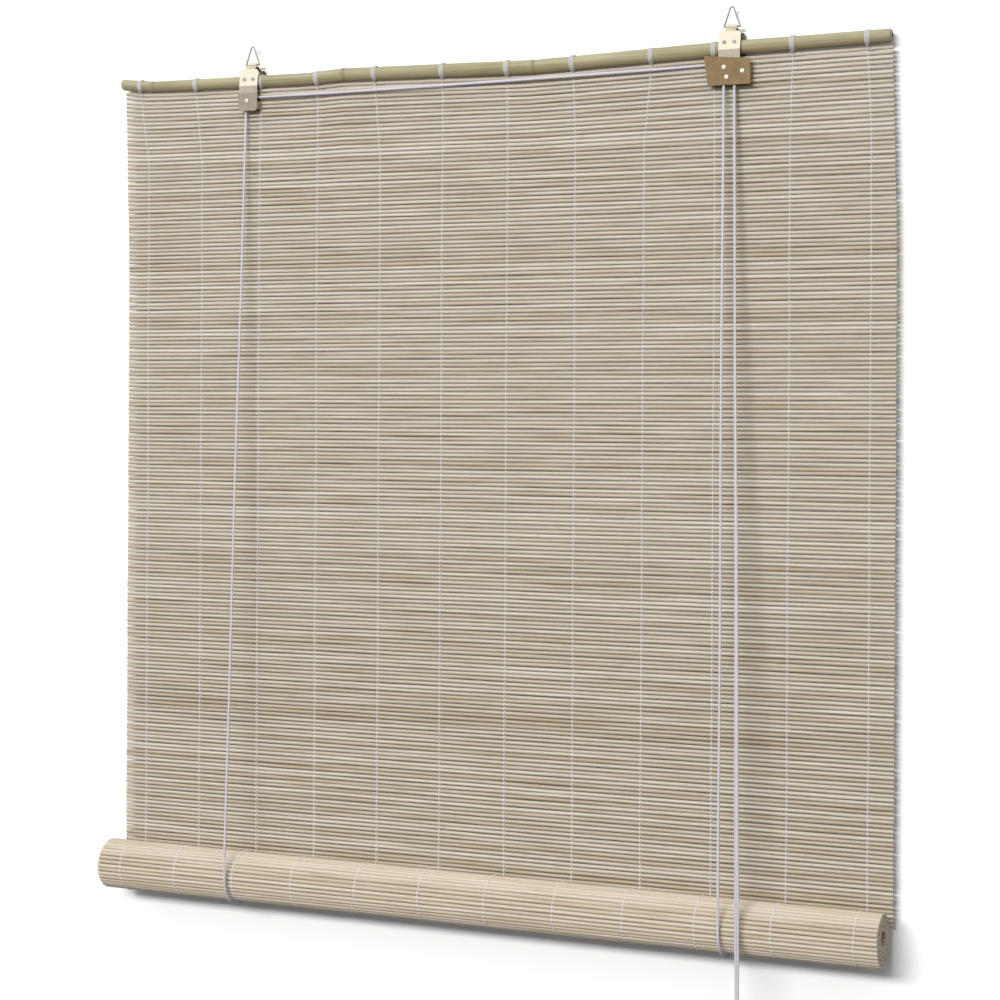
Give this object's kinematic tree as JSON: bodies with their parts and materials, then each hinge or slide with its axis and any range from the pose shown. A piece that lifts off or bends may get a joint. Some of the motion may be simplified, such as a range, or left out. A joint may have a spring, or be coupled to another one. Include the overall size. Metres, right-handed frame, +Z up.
{
  "type": "reed roll-up blind",
  "caption": "Reed mat blind hung by rings from a bamboo rod, rolled up at the bottom by lift cords that run over a pulley to a cam cord lock with hanging pull cords.",
  "frame": {"origin": "seat of the left hanging ring, the inside of its top bend, where the left hook carries it", "axes": "+X to the viewer's right along the rod, +Y away from the viewer to the wall, +Z up"},
  "size_m": [0.8046, 0.0675, 0.993],
  "materials": {
    "bamboo_rod": "satin bamboo culm",
    "reed": "split reed sticks, matte",
    "thread": "spun cotton thread",
    "cord": "braided white cord",
    "zinc_steel": "yellow zinc plated sheet",
    "screw_steel": "bright steel",
    "ring_wire": "bright bent wire",
    "lock_brass": "brown brass lacquer on sheet steel",
    "box_steel": "dull zinc plated sheet",
    "rivet_steel": "bright rivet",
    "roller_steel": "turned roller"
  },
  "bodies": {
    "head": {"head_rod": "bamboo_rod", "rod_bindings": "thread", "reed_mat": "reed", "warp_threads": "thread", "left_strap": "zinc_steel", "right_strap": "zinc_steel", "left_strap_screws": "screw_steel", "right_strap_screws": "screw_steel", "pulley_box": "box_steel", "left_roller_rivet": "rivet_steel", "lock_housing": "lock_brass", "upper_roller_rivet": "rivet_steel", "lower_roller_rivet": "rivet_steel", "cam_rivet": "rivet_steel", "left_cord_back_leg": "cord", "left_cord_front_leg": "cord", "left_cord_cross_run": "cord", "right_cord_back_leg": "cord", "right_cord_front_leg": "cord", "right_cord_turn": "cord", "back_leg_knots": "cord", "left_pull_leg": "cord", "right_pull_leg": "cord"},
    "left_ring": {"left_ring": "ring_wire"},
    "right_ring": {"right_ring": "ring_wire"},
    "left_roller": {"left_roller": "roller_steel"},
    "upper_lock_roller": {"upper_lock_roller": "roller_steel"},
    "lower_lock_roller": {"lower_lock_roller": "roller_steel"},
    "lock_cam": {"lock_cam": "roller_steel"},
    "lift": {"left_cord_bight": "cord", "right_cord_bight": "cord", "left_pull_tail": "cord", "right_pull_tail": "cord", "cord_hank": "cord", "hank_tie": "cord", "pull_cord_ends": "cord", "pull_cord_knots": "cord"},
    "roll": {"mat_roll": "reed", "roll_threads": "thread"}
  },
  "joints": [
    {"name": "roll_lift", "type": "slide", "parent": "head", "child": "lift", "axis": [0, 0, 1], "range_m": [0, 0.73], "deforming": ["reed_mat", "warp_threads", "left_cord_back_leg", "right_cord_back_leg", "left_cord_front_leg", "right_cord_front_leg", "left_pull_leg", "right_pull_leg"]},
    {"name": "roll_spin", "type": "hinge", "parent": "lift", "child": "roll", "pos_m": [0, -0.0245, -0.82446], "axis": [1, 0, 0], "range_deg": [-1720, 0]},
    {"name": "left_ring_swing", "type": "hinge", "parent": "head", "child": "left_ring", "pos_m": [0, 0, -0.017], "axis": [1, 0, 0], "range_deg": [-90, 90]},
    {"name": "right_ring_swing", "type": "hinge", "parent": "head", "child": "right_ring", "pos_m": [0.502, 0, -0.011], "axis": [1, 0, 0], "range_deg": [-90, 90]},
    {"name": "cam_swing", "type": "hinge", "parent": "head", "child": "lock_cam", "pos_m": [0.5147, -0.0068, -0.0534], "axis": [0, 1, 0], "range_deg": [-30, 0]},
    {"name": "left_roller_turn", "type": "hinge", "parent": "head", "child": "left_roller", "pos_m": [-0.001, -0.0068, -0.0539], "axis": [0, 1, 0], "continuous": true},
    {"name": "upper_roller_turn", "type": "hinge", "parent": "head", "child": "upper_lock_roller", "pos_m": [0.4974, -0.0068, -0.0492], "axis": [0, 1, 0], "continuous": true},
    {"name": "lower_roller_turn", "type": "hinge", "parent": "head", "child": "lower_lock_roller", "pos_m": [0.4999, -0.0068, -0.0583], "axis": [0, 1, 0], "continuous": true}
  ],
  "couplings": [
    {"joint": "roll_spin", "follows": "roll_lift", "rad_per_m": -40.816},
    {"joint": "left_roller_turn", "follows": "roll_lift", "rad_per_m": 579.71},
    {"joint": "upper_roller_turn", "follows": "roll_lift", "rad_per_m": 579.71},
    {"joint": "lower_roller_turn", "follows": "roll_lift", "rad_per_m": 579.71}
  ]
}
